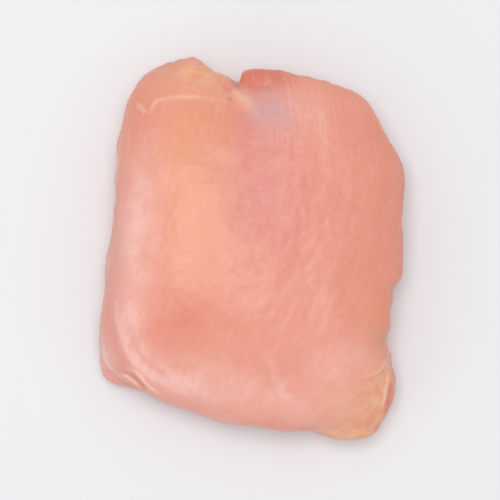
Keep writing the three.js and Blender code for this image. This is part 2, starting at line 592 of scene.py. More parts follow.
@dataclass(frozen=True)
class OuterMuscle:
    """The thick muscle on the left, under a pale film, with the free edge that lies over the other."""

    edge_rise: float = 0.4
    edge_drop: float = 0.5
    ridge_lift: float = 0.25
    ridge_width: float = 0.55

    ridge: ClassVar[Route] = route(
        (-0.65, 0.68), (-0.635, 0.72), (-0.6, 0.76), (-0.53, 0.778),
        (-0.42, 0.786), (-0.3, 0.78), (-0.18, 0.765), (-0.1, 0.745),
    )
    ridge_arm: ClassVar[Route] = route((-0.74, 0.76), (-0.70, 0.73), (-0.65, 0.685))
    roll_wrinkle: ClassVar[Route] = route(
        (-0.86, -0.18), (-0.845, -0.36), (-0.777, -0.52), (-0.66, -0.63), (-0.48, -0.70)
    )
    roll_groove: ClassVar[Route] = route(
        (-0.80, -0.28), (-0.765, -0.40), (-0.70, -0.53), (-0.60, -0.615), (-0.46, -0.67)
    )
    edge: ClassVar[Route] = route(
        (0.169, 0.658), (0.058, 0.73), (0.021, 0.761), (-0.086, 0.842), (-0.156, 0.887), (-0.279, 0.935)
    )
    root: ClassVar[Route] = route((-0.48, 0.9), (-0.4, 0.88), (-0.3, 0.845), (-0.2, 0.825), (-0.12, 0.815))
    front_roll: ClassVar[Route] = route(
        (-0.8, -0.161), (-0.77, -0.35), (-0.703, -0.549), (-0.614, -0.633), (-0.42, -0.69), (-0.2, -0.72)
    )
    corner_groove: ClassVar[Route] = route((-0.9, -0.2), (-0.9, -0.4), (-0.86, -0.56), (-0.76, -0.66))
    left_fold: ClassVar[Route] = route(
        (-0.78, 0.8, 0.26), (-0.88, 0.5, 0.36), (-0.88, 0.15, 0.27),
        (-0.95, -0.15, 0.34), (-1.0, -0.42, 0.3), (-0.98, -0.6, 0.38),
    )
    front_fold: ClassVar[Route] = route(
        (-0.72, -0.74, 0.42), (-0.5, -0.8, 0.34), (-0.25, -0.86, 0.42),
        (0.0, -0.88, 0.32), (0.2, -0.9, 0.36), (0.42, -0.9, 0.3),
    )
    back_fold: ClassVar[Route] = route(
        (-0.1, 0.88, 0.3), (-0.3, 0.95, 0.4), (-0.55, 0.88, 0.32), (-0.78, 0.78, 0.36)
    )
    left_tendon: ClassVar[Route] = route((-0.86, 0.62, 0.62), (-0.9, 0.35, 0.55), (-0.92, 0.05, 0.6))

    def fold(self, places: Route, rise: float, drop: float) -> Ledge:
        """Makes a fold of this muscle over the flap that is tucked under it."""
        return Ledge(places, rise, drop, upper=4, lower=4, edge=0.8, side=Side.ROUND, fade=0.2)

    def marks(self) -> dict[str, Mark]:
        """Names what is pressed into this muscle.

        Returns:
            The marks, in the order in which they are pressed.
        """
        return {
            "crease closed before the peak": Melt(Place(-0.22, 0.83, 0.75), reach=(10, 5, 9), rounds=40),
            "root of the peak": Seam(self.root, width=1.5, lift=0.65, taper=0.15),
            "free edge": Ledge(self.edge, self.edge_rise, self.edge_drop, upper=4, lower=4, edge=0.9),
            "ridge of film": Seam(self.ridge, self.ridge_width, self.ridge_lift, taper=0.15),
            "arm of the ridge": Seam(self.ridge_arm, width=0.5, lift=0.12, taper=0.5),
            "left front corner set off": Seam(self.corner_groove, width=1.8, lift=-0.35),
            "groove in the front roll": Seam(self.roll_groove, width=1.0, lift=-0.3),
            "wrinkle on the front roll": Seam(self.roll_wrinkle, width=1.0, lift=0.3),
            "left fold": self.fold(self.left_fold, rise=0.5, drop=1.1),
            "front fold": self.fold(self.front_fold, rise=0.6, drop=1.2),
            "back fold": self.fold(self.back_fold, rise=0.5, drop=1.0),
            "tendon": Seam(self.left_tendon, width=0.8, lift=0.3, side=Side.ROUND),
            "peak drawn out": Tug(Place(-0.37, 0.98, 0.6), reach=(2.0, 3.0, 8.0), pull=(0.2, 0.45, 0.0)),
            "peak cut in on its left": Tug(
                Place(-0.50, 0.97, 0.6), reach=(3.6, 4.0, 9.0), pull=(0.0, -1.35, 0.0)
            ),
            "fuller shoulder": Tug(Place(-0.67, 0.88, 0.6), reach=(2.8, 4.0, 9.0), pull=(0.0, 0.4, 0.0)),
            "slope of the peak filled out": Tug(
                Place(-0.225, 0.9, 0.6), reach=(3.2, 4.0, 8.0), pull=(0.0, 1.55, 0.0)
            ),
        }

    def stains(self) -> dict[str, Stain]:
        """Names what tints this muscle.

        Returns:
            The stains.
        """
        # Painted sheen: the pale film down the left, along the front and over the front edge, as on the
        # front roll, is partly real film and partly a painted highlight on the rolls.
        left_film_and_sheen = Swell(Place(-0.72, 0.08), reach=(5.5, 22, THROUGH), turn=-4)
        front_film_and_sheen = Swell(Place(-0.16, -0.69), reach=(21, 5.5, THROUGH), turn=-15)
        edge_film_and_sheen = Swell(Place(-0.32, -0.79, 0.8), reach=(15, 4, 12), turn=-15)
        tendon = Seam(self.left_tendon, width=1.0, side=Side.ROUND)
        return {
            "warm middle": Stain(Tint.WARM, Swell(Place(-0.29, 0.15), (11, 21, THROUGH)), 0.9),
            "warm by the film": Stain(Tint.WARM, Swell(Place(-0.52, 0.25), (8, 14, THROUGH)), 0.2),
            "warm back": Stain(Tint.WARM, Swell(Place(-0.42, 0.66), (16, 13, THROUGH)), 0.8),
            "red front": Stain(Tint.BARE, Swell(Place(-0.41, -0.34), (9, 7, THROUGH), turn=-12), 0.5),
            "film and painted sheen down the left": Stain(Tint.FILM_AND_SHEEN, left_film_and_sheen, 0.9),
            "film and painted sheen on the front roll": Stain(Tint.FILM_AND_SHEEN, Seam(self.front_roll, width=3.0), 0.6),
            "film and painted sheen along the front": Stain(Tint.FILM_AND_SHEEN, front_film_and_sheen, 0.6),
            # Painted shade where the shoulder turns away, laid in red flesh colour.
            "painted shade on the shoulder": Stain(Tint.BARE, Swell(Place(-0.7, 0.6, 0.85), (5, 12, THROUGH)), 0.45),
            "rosy corner": Stain(Tint.ROSE, Swell(Place(-0.84, -0.48, 0.7), (3.5, 10, 14)), 0.5),
            "film on the corner": Stain(Tint.FILM_AND_SHEEN, Swell(Place(-0.93, -0.57, 0.6), (3, 6, 10)), 0.55),
            "film and painted sheen over the front edge": Stain(Tint.FILM_AND_SHEEN, edge_film_and_sheen, 0.25),
            # Painted sheen in lilac along the left edge.
            "painted lilac sheen on the left edge": Stain(Tint.LILAC_REFLECTION, Swell(Place(-0.88, -0.05, 0.8), (3, 22, 12)), 0.35),
            "pale ridge": Stain(Tint.PALE, Seam(self.ridge, width=0.5, taper=0.15), 0.33),
            "pale arm of the ridge": Stain(Tint.PALE, Seam(self.ridge_arm, width=0.55, taper=0.3), 0.3),
            # Painted sheen on the wrinkle of the front roll, and none in the groove beside it.
            "film and painted sheen on the wrinkle": Stain(Tint.FILM_AND_SHEEN, Seam(self.roll_wrinkle, width=0.9), 0.5),
            "film and painted sheen taken out of the groove": Stain(Tint.FILM_AND_SHEEN, Seam(self.roll_groove, width=0.9), -0.4),
            "pale tip": Stain(Tint.PALE, Swell(Place(-0.05, 0.79), (1.8, 3.4, 10), turn=40), 0.55),
            "film on the free edge": Stain(Tint.FILM_AND_SHEEN, Seam(self.edge, width=1.6), 0.3),
            "fat on the peak": Stain(Tint.FAT, Swell(Place(-0.33, 0.91, 0.7), (7, 4.5, 12)), 0.65),
            "fat below the peak": Stain(Tint.FAT, Swell(Place(-0.2, 0.92, 0.3), (5, 4, 3)), 0.6),
            "pale tendon": Stain(Tint.FILM_AND_SHEEN, tendon, 0.8),
            "bare low on the left": Stain(Tint.BARE, Swell(Place(-0.95, 0.0, 0.12), (8, 45, 5)), 0.6),
            "bare low in front": Stain(Tint.BARE, Swell(Place(-0.1, -0.95, 0.12), (30, 10, 5)), 0.6),
            "fat in the left fold": Stain(Tint.FAT, Swell(Place(-0.92, 0.42, 0.3), (5, 6, 2.5)), 0.5),
        }


@dataclass(frozen=True)
class InnerMuscle:
    """The flatter muscle on the right, whose fibres show, with its trimmed edge."""

    notch: float = 1.6
    scallop: float = 1.1

    lobe_crease: ClassVar[Route] = route((-0.04, 0.85), (0.04, 0.84), (0.11, 0.845), (0.18, 0.86))
    pale_line: ClassVar[Route] = route((0.1, -0.5), (0.14, -0.6), (0.195, -0.7), (0.28, -0.83))
    film_edge: ClassVar[Route] = route(
        (0.9, -0.33, 0.6), (0.98, -0.1, 0.5), (1.0, 0.15, 0.58), (0.98, 0.4, 0.48),
        (0.9, 0.62, 0.58), (0.72, 0.8, 0.56), (0.4, 0.9, 0.6),
    )

    def nick(self, place: Place, reach: Triple, depth: float) -> Tug:
        """Makes a nick in the trimmed edge on the right, in scallops deep."""
        return Tug(place, reach, pull=(-depth * self.scallop, 0, 0))

    def marks(self) -> dict[str, Mark]:
        """Names what is pressed into this muscle.

        Returns:
            The marks, in the order in which they are pressed.
        """
        return {
            "notch": Tug(Place(-0.075, 0.92, 0.6), reach=(2.2, 4.5, 12), pull=(0.0, -self.notch, 0.0)),
            "lobe drawn left": Tug(Place(0.0, 0.92, 0.6), reach=(2.6, 2.6, 7), pull=(-1.7, 0.3, 0.0)),
            "lobe trimmed behind": Tug(Place(0.12, 0.96, 0.6), reach=(4, 2.5, 9), pull=(0.0, -0.9, 0.0)),
            "dent in the lobe": Swell(Place(0.03, 0.86), reach=(4, 4, 12), lift=-0.8),
            "crease before the lobe": Seam(self.lobe_crease, width=1.1, lift=-0.75),
            "back corner filled out": Tug(Place(0.74, 0.7, 0.55), reach=(6, 6, 8), pull=(0.55, 0.45, 0)),
            "first nick": self.nick(Place(0.95, -0.21, 0.55), reach=(5, 2.2, 9), depth=1.5),
            "second nick": self.nick(Place(0.97, -0.32, 0.55), reach=(5, 3.0, 9), depth=1.3),
            "third nick": self.nick(Place(0.93, -0.46, 0.6), reach=(6, 3.4, 10), depth=2.0),
            "nicks rounded": Melt(Place(0.97, -0.27, 0.6), reach=(6, 3, 8), rounds=12),
            "dip in the middle": Swell(Place(0.03, 0.243), reach=(7, 13, THROUGH), lift=-0.6),
            "edge of the film": Ledge(
                self.film_edge, 0.35, 0.8, upper=3.5, lower=4, edge=0.7, side=Side.ROUND, fade=0.15
            ),
        }

    def stains(self) -> dict[str, Stain]:
        """Names what tints this muscle.

        Returns:
            The stains.
        """
        film_edge = Seam(self.film_edge, width=0.9, side=Side.ROUND)
        return {
            "rosy middle": Stain(Tint.ROSE, Swell(Place(0.12, 0.24), (11, 14, THROUGH)), 0.9),
            "rosy back": Stain(Tint.ROSE, Swell(Place(0.05, 0.58), (7, 8, THROUGH)), 0.8),
            "redder middle": Stain(Tint.BARE, Swell(Place(0.38, 0.22), (14, 15, THROUGH)), 0.25),
            "first red fleck": Stain(Tint.BARE, Swell(Place(0.62, 0.78), (1.3, 1.1, 6)), 0.7),
            "second red fleck": Stain(Tint.BARE, Swell(Place(0.77, 0.72), (1.1, 1.5, 6)), 0.7),
            "warm by the nicks": Stain(Tint.WARM, Swell(Place(0.86, -0.38, 0.8), (6, 9, 14)), 0.7),
            "redder right edge": Stain(Tint.BARE, Swell(Place(0.85, 0.0, 0.7), (12, 45, 16)), 0.22),
            "bare below the edge": Stain(Tint.BARE, Swell(Place(1.0, 0.1, 0.35), (8, 40, 5)), 0.7),
            # The lower lobe's own red, deepened at its lower edge by the notch as painted shade.
            "red lobe with painted shade": Stain(Tint.BARE, Swell(Place(0.02, 0.86, 0.7), (6, 3.2, 14)), 1.0),
            "red behind the lobe": Stain(Tint.BARE, Swell(Place(0.12, 0.9, 0.7), (7, 4, 14)), 0.8),
            "pale edge of the film": Stain(Tint.FILM_AND_SHEEN, film_edge, 0.6),
            "film on the back": Stain(Tint.FILM_AND_SHEEN, Swell(Place(0.3, 0.72), (9, 6, THROUGH)), 0.3),
            "film in front": Stain(Tint.FILM_AND_SHEEN, Swell(Place(0.56, -0.58), (10, 6, THROUGH), turn=25), 0.55),
            "film on the front edge": Stain(Tint.FILM_AND_SHEEN, Swell(Place(0.38, -0.84), (9, 5, 14)), 0.3),
            "pale line": Stain(Tint.FILM_AND_SHEEN, Seam(self.pale_line, width=1.1), 0.35),
            # Painted reflection: a lilac patch, and a fainter one round it.
            "painted lilac reflection patch": Stain(Tint.LILAC_REFLECTION, Swell(Place(0.1, 0.735), (4, 4.2, THROUGH)), 0.95),
            "painted lilac reflection round the patch": Stain(Tint.LILAC_REFLECTION, Swell(Place(0.2, 0.67), (5, 5, THROUGH)), 0.35),
            "pale fibres": Stain(Tint.STRIAE, Swell(Place(0.42, 0.68), (9, 9, THROUGH)), 0.8),
            "fat on the right": Stain(Tint.FAT, Swell(Place(0.98, 0.32, 0.27), (5, 7, 2)), 0.6),
            "fat behind": Stain(Tint.FAT, Swell(Place(0.5, 0.9, 0.26), (8, 5, 2)), 0.5),
            "warm back corner": Stain(Tint.WARM, Swell(Place(0.68, 0.79), (4, 3, 6)), 0.6),
        }


@dataclass(frozen=True)
class FatCorner:
    """The fat at the right front corner, with the thin membrane that the muscle ends in."""

    membrane: ClassVar[Route] = route(
        (0.95, -0.47, 0.6), (0.93, -0.522, 0.65), (0.902, -0.563, 0.7),
        (0.85, -0.612), (0.78, -0.64), (0.72, -0.645), (0.66, -0.64),
    )
    crest: ClassVar[Route] = route((0.905, -0.55), (0.9, -0.66), (0.875, -0.76), (0.85, -0.85))
    lip: ClassVar[Route] = route((0.45, -0.9), (0.56, -0.93), (0.68, -0.94), (0.77, -0.9))
    lip_edge: ClassVar[Route] = route(
        (0.4, -0.92, 0.6), (0.56, -0.97, 0.55), (0.7, -0.98, 0.55), (0.8, -0.93, 0.6)
    )
    red_strip: ClassVar[Route] = route(
        (0.95, -0.64, 0.6), (0.95, -0.73, 0.6), (0.93, -0.81, 0.56), (0.88, -0.89, 0.52)
    )
    lower_fold: ClassVar[Route] = route(
        (0.42, -0.98, 0.3), (0.6, -1.0, 0.34), (0.8, -0.98, 0.28),
        (0.96, -0.85, 0.32), (1.0, -0.65, 0.3), (0.98, -0.5, 0.36),
    )

    def marks(self) -> dict[str, Mark]:
        """Names what is pressed into the fat.

        Returns:
            The marks, in the order in which they are pressed.
        """
        towards_side = list(reversed(self.membrane))
        return {
            "join closed": Melt(Place(0.9, -0.52, 0.55), reach=(9, 9, 9), rounds=16),
            "side drawn in": Tug(Place(0.96, -0.62, 0.5), reach=(6, 6, 9), pull=(-0.9, 0.0, 0.0)),
            "end of the muscle": Ledge(towards_side, 0.4, 0.1, upper=3, lower=3, edge=0.9, fade=0.25),
            "membrane": Seam(self.membrane, width=0.7, lift=0.25, taper=0.3),
            "crest": Seam(self.crest, width=1.3, lift=0.35),
            "red strip": Seam(self.red_strip, width=1.1, lift=-0.35, side=Side.ROUND, taper=0.45),
            "lip set off": Seam(self.lip, width=1.1, lift=-0.5),
            "lower fold": Ledge(
                self.lower_fold, 0.3, 1.1, upper=4, lower=4.5, edge=0.9, side=Side.ROUND, fade=0.2
            ),
            "corner drawn in below": Tug(Place(1.0, -1.0, 0.1), reach=(8, 8, 7), pull=(-2.0, 2.0, 0.6)),
            "side drawn in below": Tug(Place(1.0, -0.6, 0.0), reach=(6, 7, 5), pull=(-2.0, 0.0, 0.0)),
            "front drawn in below": Tug(Place(0.6, -1.0, 0.0), reach=(9, 6, 5), pull=(0.0, 1.8, 0.0)),
            "front rounded": Melt(Place(0.8, -0.97, 0.4), reach=(13, 8, 9), rounds=50),
            "side rounded": Melt(Place(0.95, -0.7, 0.2), reach=(8, 10, 6), rounds=30),
            "lip drawn out": Tug(Place(0.8, -1.0, 0.45), reach=(12, 5, 8), pull=(0.2, -0.7, 0.0)),
        }

    def stains(self) -> dict[str, Stain]:
        """Names what tints the fat.

        Returns:
            The stains.
        """
        red_strip = Seam(self.red_strip, width=1.3, side=Side.ROUND, taper=0.45)
        return {
            "fat on top": Stain(Tint.FAT, Swell(Place(0.84, -0.73, 0.55), (5.5, 9, 8), turn=-12), 0.9),
            "fat of the lip": Stain(Tint.FAT, Swell(Place(0.72, -0.95, 0.5), (9, 5, 6)), 0.85),
            "fat below the lip": Stain(Tint.FAT, Swell(Place(0.7, -0.9, 0.12), (9, 9, 3)), 0.7),
            "fat low on the side": Stain(Tint.FAT, Swell(Place(1.0, -0.6, 0.1), (6, 7, 3)), 0.5),
            "warm beside the fat": Stain(Tint.WARM, Swell(Place(0.64, -0.8, 0.7), (10, 8, 14)), 0.55),
            "red in the fat": Stain(Tint.BARE, Swell(Place(0.76, -0.9, 0.6), (7, 4, 8)), 0.3),
            "pale patch": Stain(Tint.PALE, Swell(Place(0.64, -0.79, 0.8), (5, 5, 14)), 0.2),
            "pale membrane": Stain(Tint.PALE, Seam(self.membrane, width=0.55, taper=0.45), 0.75),
            "pale crest": Stain(Tint.PALE, Seam(self.crest, width=0.7), 0.5),
            "pale lip": Stain(Tint.PALE, Seam(self.lip_edge, width=0.9, side=Side.ROUND), 0.15),
            "red strip": Stain(Tint.BARE, red_strip, 0.75),
        }


@dataclass(frozen=True)
class TuckedFlaps:
    """The thin flaps folded underneath, whose edges show all round below the muscles."""

    curl: ClassVar[Route] = route(
        (-0.82, -0.64, 0.74), (-0.76, -0.625, 0.78), (-0.71, -0.645, 0.76),
        (-0.67, -0.69, 0.72), (-0.62, -0.73, 0.7), (-0.56, -0.755, 0.66),
    )
    lower_curl: ClassVar[Route] = route(
        (-0.87, -0.665, 0.62), (-0.81, -0.665, 0.68), (-0.75, -0.69, 0.65), (-0.70, -0.735, 0.6)
    )
    curl_gap: ClassVar[Route] = route(
        (-0.84, -0.655, 0.68), (-0.77, -0.655, 0.7), (-0.71, -0.69, 0.67), (-0.66, -0.735, 0.64)
    )
    flap_edge: ClassVar[Route] = route(
        (0.86, -0.45, 0.27), (0.95, -0.2, 0.24), (0.97, 0.1, 0.27), (0.95, 0.4, 0.23),
        (0.85, 0.65, 0.26), (0.6, 0.82, 0.25), (0.25, 0.86, 0.27),
    )
    opening: ClassVar[Route] = route(
        (0.1, 0.75, 0.0), (0.05, 0.4, 0.0), (0.12, 0.0, 0.0), (0.05, -0.3, 0.0)
    )
    tendon: ClassVar[Route] = route((-0.5, 0.6, 0.0), (-0.42, 0.1, 0.0), (-0.5, -0.4, 0.0))

    def marks(self) -> dict[str, Mark]:
        """Names what is pressed into the flaps.

        Returns:
            The marks, in the order in which they are pressed.
        """
        return {
            "edge of the flap": Ledge(
                self.flap_edge, 0.2, 0.9, upper=2.5, lower=2.0, edge=0.7, side=Side.ROUND, fade=0.15
            ),
            "tendon": Seam(self.tendon, width=1.2, lift=0.5, side=Side.UNDERSIDE),
            "gap between the curls": Seam(self.curl_gap, width=0.9, lift=-0.6, side=Side.ROUND, taper=0.4),
            "curl": Seam(self.curl, width=0.55, lift=0.35, side=Side.ROUND, taper=0.5),
            "lower curl": Seam(self.lower_curl, width=0.55, lift=0.3, side=Side.ROUND, taper=0.5),
            "corner drawn out": Tug(Place(-0.98, -0.66, 0.15), reach=(4, 4, 5), pull=(-0.5, -0.8, 0.0)),
        }

    def stains(self) -> dict[str, Stain]:
        """Names what tints the flaps.

        Returns:
            The stains.
        """
        opening = Seam(self.opening, width=4.0, side=Side.UNDERSIDE)
        tendon = Seam(self.tendon, width=1.6, side=Side.UNDERSIDE)
        curl = Seam(self.curl, width=0.5, side=Side.ROUND, taper=0.4)
        lower_curl = Seam(self.lower_curl, width=0.5, side=Side.ROUND, taper=0.4)
        curl_gap = Seam(self.curl_gap, width=1.2, side=Side.ROUND, taper=0.2)
        return {
            "fat in the opening": Stain(Tint.FAT, opening, 0.8),
            "pale tendon": Stain(Tint.FILM_AND_SHEEN, tendon, 0.9),
            "film below": Stain(Tint.FILM_AND_SHEEN, Swell(Place(-0.4, 0.0, 0.0), (16, 30, 3)), 0.4),
            "rosy flap": Stain(Tint.ROSE, Swell(Place(0.5, 0.2, 0.0), (12, 20, 3)), 0.5),
            "pale curl": Stain(Tint.PALE, curl, 0.9),
            "pale lower curl": Stain(Tint.PALE, lower_curl, 0.8),
            "red between the curls": Stain(Tint.BARE, curl_gap, 0.8),
            "bare low on the right": Stain(Tint.BARE, Swell(Place(0.9, 0.1, 0.15), (10, 50, 4)), 0.5),
            "film low on the corner": Stain(Tint.FILM_AND_SHEEN, Swell(Place(-0.9, -0.6, 0.15), (8, 8, 6)), 0.5),
        }


class Value:
    """A number or a colour in a shader, so that a sum written on it adds its Math nodes."""

    def __init__(self, shader: "Shader", socket: bpy.types.NodeSocket) -> None:
        """Wraps an output.

        Args:
            shader: The shader that it is in.
            socket: The output.
        """
        self.shader = shader
        self.socket = socket

    def math(self, operation: str, first: Any, second: Any) -> "Value":
        """Adds a Math node."""
        return self.shader.node("ShaderNodeMath", {"operation": operation}, {0: first, 1: second})

    def __add__(self, other: Any) -> "Value":
        """Adds to this."""
        return self.math("ADD", self, other)

    def __radd__(self, other: Any) -> "Value":
        """Adds this."""
        return self.math("ADD", other, self)

    def __sub__(self, other: Any) -> "Value":
        """Subtracts from this."""
        return self.math("SUBTRACT", self, other)

    def __rsub__(self, other: Any) -> "Value":
        """Subtracts this."""
        return self.math("SUBTRACT", other, self)

    def __mul__(self, other: Any) -> "Value":
        """Multiplies this."""
        return self.math("MULTIPLY", self, other)

    def __rmul__(self, other: Any) -> "Value":
        """Multiplies by this."""
        return self.math("MULTIPLY", other, self)

    def __abs__(self) -> "Value":
        """Drops the sign of this."""
        return self.math("ABSOLUTE", self, 0.0)


@dataclass(frozen=True)
class Speckle:
    """A noise of the finish.

    Attributes:
        size: The width of a blotch.
        detail: How many finer layers it has.
        roughness: How strong those are.
    """

    size: float
    detail: float = 2.0
    roughness: float = 0.5


class Shader:
    """The nodes of one material."""

    def __init__(self, name: str) -> None:
        """Starts an empty material.

        Args:
            name: Its name.
        """
        self.material = bpy.data.materials.new(name)
        self.material.use_nodes = True
        self.tree = self.material.node_tree
        self.tree.nodes.clear()

    def node(
        self, kind: str, settings: dict[str, Any], inputs: dict[Any, Any], output: str | int = 0
    ) -> Value | None:
        """Adds a node.

        Args:
            kind: Its type.
            settings: Its settings, which are set first.
            inputs: The value or link of each socket, by name or number.
            output: The name or number of the output that is used.

        Returns:
            That output, or nothing where the node has none.
        """
        made = self.tree.nodes.new(kind)
        for name, setting in settings.items():
            setattr(made, name, setting)
        for key, given in inputs.items():
            if isinstance(given, Value):
                self.tree.links.new(given.socket, made.inputs[key])
            else:
                made.inputs[key].default_value = given
        return Value(self, made.outputs[output]) if made.outputs else None

    def attribute(self, name: str, output: str = "Fac") -> Value:
        """Reads an attribute of the mesh: its number, or with Vector as the output its vector."""
        settings = {"attribute_type": "GEOMETRY", "attribute_name": name}
        return self.node("ShaderNodeAttribute", settings, {}, output)

    def mix(self, factor: Any, first: Any, second: Any) -> Value:
        """Mixes two colours.

        Args:
            factor: The share of the second.
            first: A colour.
            second: A colour.

        Returns:
            The mixed colour.
        """
        # This node has inputs of the same name for each kind of data, so colours go by number.
        colour_a, colour_b, colour_result = 6, 7, 2
        settings = {"data_type": "RGBA", "clamp_factor": True}
        inputs = {"Factor": factor, colour_a: first, colour_b: second}
        return self.node("ShaderNodeMix", settings, inputs, colour_result)

    def graded(self, value: Any, span: Span) -> Value:
        """Spreads a value smoothly from 0 to 1.

        Args:
            value: The value.
            span: Where 0 is, and where 1 is.

        Returns:
            The graded value.
        """
        inputs = {"Value": value, "From Min": span[0], "From Max": span[1]}
        return self.node("ShaderNodeMapRange", {"interpolation_type": "SMOOTHSTEP"}, inputs)

    def stretched(self, vector: Value, scale: Triple) -> Value:
        """Scales a vector along its axes."""
        return self.node("ShaderNodeVectorMath", {"operation": "MULTIPLY"}, {0: vector, 1: scale})

    def speckled(self, vector: Value, speckle: Speckle, unit: float = MM) -> Value:
        """Gives noise from 0 to 1.

        Args:
            vector: The coordinates.
            speckle: The noise.
            unit: A millimetre in those coordinates.

        Returns:
            The noise.
        """
        inputs = {
            "Vector": vector,
            "Scale": 1 / (speckle.size * unit),
            "Detail": speckle.detail,
            "Roughness": speckle.roughness,
        }
        return self.node("ShaderNodeTexNoise", {}, inputs)

    def finished(self, surface: Value) -> bpy.types.Material:
        """Gives the material, with its surface joined to its output."""
        self.node("ShaderNodeOutputMaterial", {}, {"Surface": surface})
        return self.material


class Patterns(NamedTuple):
    """What the colour of the meat follows besides its tints."""

    place: Value
    grain: Value
    fibres: Value
    pores: Value


@dataclass(frozen=True)
class RawMeat:
    """The finish: wet, slightly translucent flesh with its film, fat and fibres.

    Attributes:
        roughness_swing: How far its wetness changes the roughness.
        film_gloss: How much smoother the film is.
        refraction: How strongly the flesh bends light.
        translucence: How much of the light goes into it.
        depth: How far that light goes, in metres.
        bleed: How far each colour of it goes, as shares of the depth.
        juice: How much of a wet layer lies over it, with its own roughness and refraction.
        fibre_run: How many fibre blotches there are to a millimetre across and along the grain.
        thread_run: The same for the pale threads.
        thread_sharpness: How thin those threads are.
        film_cover: How much of the film shows, and film_break how far fibres and pores change that.
        fibre_contrast: How strongly the fibres show: more by bare_contrast on bare flesh, less by
            film_contrast under the film.
    """

    flesh: Colour = screen(229, 155, 134)
    deep: Colour = screen(222, 139, 117)
    # The colour of the painted shade in the creases.
    crease: Colour = screen(168, 72, 60)
    warm: Colour = screen(228, 154, 121)
    rose: Colour = screen(214, 130, 118)
    bare: Colour = screen(216, 122, 100)
    # The pale film, also the colour of the painted sheen.
    film: Colour = screen(243, 196, 187)
    # The colour of the painted reflection and sheen.
    lilac: Colour = screen(206, 157, 157)
    fat: Colour = screen(234, 170, 124)
    pale_fat: Colour = screen(239, 190, 150)
    pale: Colour = screen(248, 215, 190)

    roughness: float = 0.4
    roughness_swing: float = 0.16
    film_gloss: float = 0.08
    refraction: float = 1.4
    translucence: float = 0.35
    depth: float = 2.2 * MM
    bleed: Triple = (1.0, 0.35, 0.22)
    juice: float = 0.15
    juice_roughness: float = 0.18
    juice_refraction: float = 1.34

    fibre: Speckle = Speckle(1.0, 3.0, 0.6)
    fibre_run: Triple = (0.8, 0.11, 1.0)
    thread: Speckle = Speckle(1.0, 1.0)
    thread_run: Triple = (0.5, 0.02, 1.0)
    pore: Speckle = Speckle(1.2, 3.0, 0.6)
    speck: Speckle = Speckle(0.4)
    wetness: Speckle = Speckle(5, 3.0)
    blotch: Speckle = Speckle(13, 3.0, 0.55)
    lump: Speckle = Speckle(2.6, 2.0)

    fibre_height: float = 0.7
    pore_height: float = 0.5
    speck_height: float = 0.3
    bump_strength: float = 0.6
    bump_depth: float = 0.16 * MM

    blotch_span: Span = (0.35, 0.7)
    blotch_share: float = 0.5
    lump_span: Span = (0.35, 0.65)
    film_cover: float = 0.75
    film_break: float = 0.5
    thread_sharpness: float = 20
    thread_span: Span = (0.1, 0.9)
    thread_share: float = 0.3
    fibre_span: Span = (0.52, 0.8)
    fibre_contrast: float = 0.12
    bare_contrast: float = 0.2
    film_contrast: float = 0.1
    pore_span: Span = (0.55, 0.75)
    pore_share: float = 0.12
    # How far the painted shade darkens the deepest creases.
    crease_shade_share: float = 0.75

    def build(self) -> bpy.types.Material:
        """Builds the material.

        Returns:
            The material.
        """
        shader = Shader("raw meat")
        place = shader.node("ShaderNodeTexCoord", {}, {}, "Object")
        grain = shader.attribute(GRAIN, "Vector")
        fibres = shader.speckled(shader.stretched(grain, self.fibre_run), self.fibre, unit=1)
        pores = shader.speckled(place, self.pore)
        patterns = Patterns(place, grain, fibres, pores)
        wetness = shader.speckled(place, self.wetness) - NOISE_MIDDLE
        film = shader.attribute(Tint.FILM_AND_SHEEN.value)
        flesh = {
            "Base Color": self.colour(shader, patterns),
            "Roughness": self.roughness + self.roughness_swing * wetness - self.film_gloss * film,
            "Normal": self.bump(shader, patterns),
            "IOR": self.refraction,
            "Subsurface Weight": self.translucence,
            "Subsurface Radius": self.bleed,
            "Subsurface Scale": self.depth,
            "Coat Weight": self.juice,
            "Coat Roughness": self.juice_roughness,
            "Coat IOR": self.juice_refraction,
        }
        settings = {"subsurface_method": "RANDOM_WALK"}
        return shader.finished(shader.node("ShaderNodeBsdfPrincipled", settings, flesh))

    def bump(self, shader: Shader, patterns: Patterns) -> Value:
        """Builds the finest relief, of fibres, pores and specks.

        Args:
            shader: The shader.
            patterns: The patterns of the meat.

        Returns:
            The normal.
        """
        specks = shader.speckled(patterns.place, self.speck)
        height = self.fibre_height * patterns.fibres + self.pore_height * patterns.pores
        height = height + self.speck_height * specks
        inputs = {"Strength": self.bump_strength, "Distance": self.bump_depth, "Height": height}
        return shader.node("ShaderNodeBump", {}, inputs)

    def layers(self, shader: Shader, patterns: Patterns) -> dict[Tint, tuple[Any, Any]]:
        """Gives the colour of each tint, and the share of it that shows where the tint is full.

        Args:
            shader: The shader.
            patterns: The patterns of the meat.

        Returns:
            Both, in the order in which they lie over each other.
        """
        broken = self.film_break * (patterns.fibres - NOISE_MIDDLE)
        film_and_sheen_share = self.film_cover + broken + self.film_break * (patterns.pores - NOISE_MIDDLE)
        threads = shader.speckled(shader.stretched(patterns.grain, self.thread_run), self.thread, unit=1)
        lines = shader.graded(1 - self.thread_sharpness * abs(threads - NOISE_MIDDLE), self.thread_span)
        lumps = shader.graded(shader.speckled(patterns.place, self.lump), self.lump_span)
        return {
            Tint.WARM: (self.warm, 1.0),
            Tint.ROSE: (self.rose, 1.0),
            Tint.FAT: (shader.mix(lumps, self.fat, self.pale_fat), 1.0),
            Tint.BARE: (self.bare, 1.0),
            Tint.FILM_AND_SHEEN: (self.film, film_and_sheen_share),
            Tint.LILAC_REFLECTION: (self.lilac, 1.0),
            Tint.STRIAE: (self.film, self.thread_share * lines),
            Tint.PALE: (self.pale, 1.0),
        }

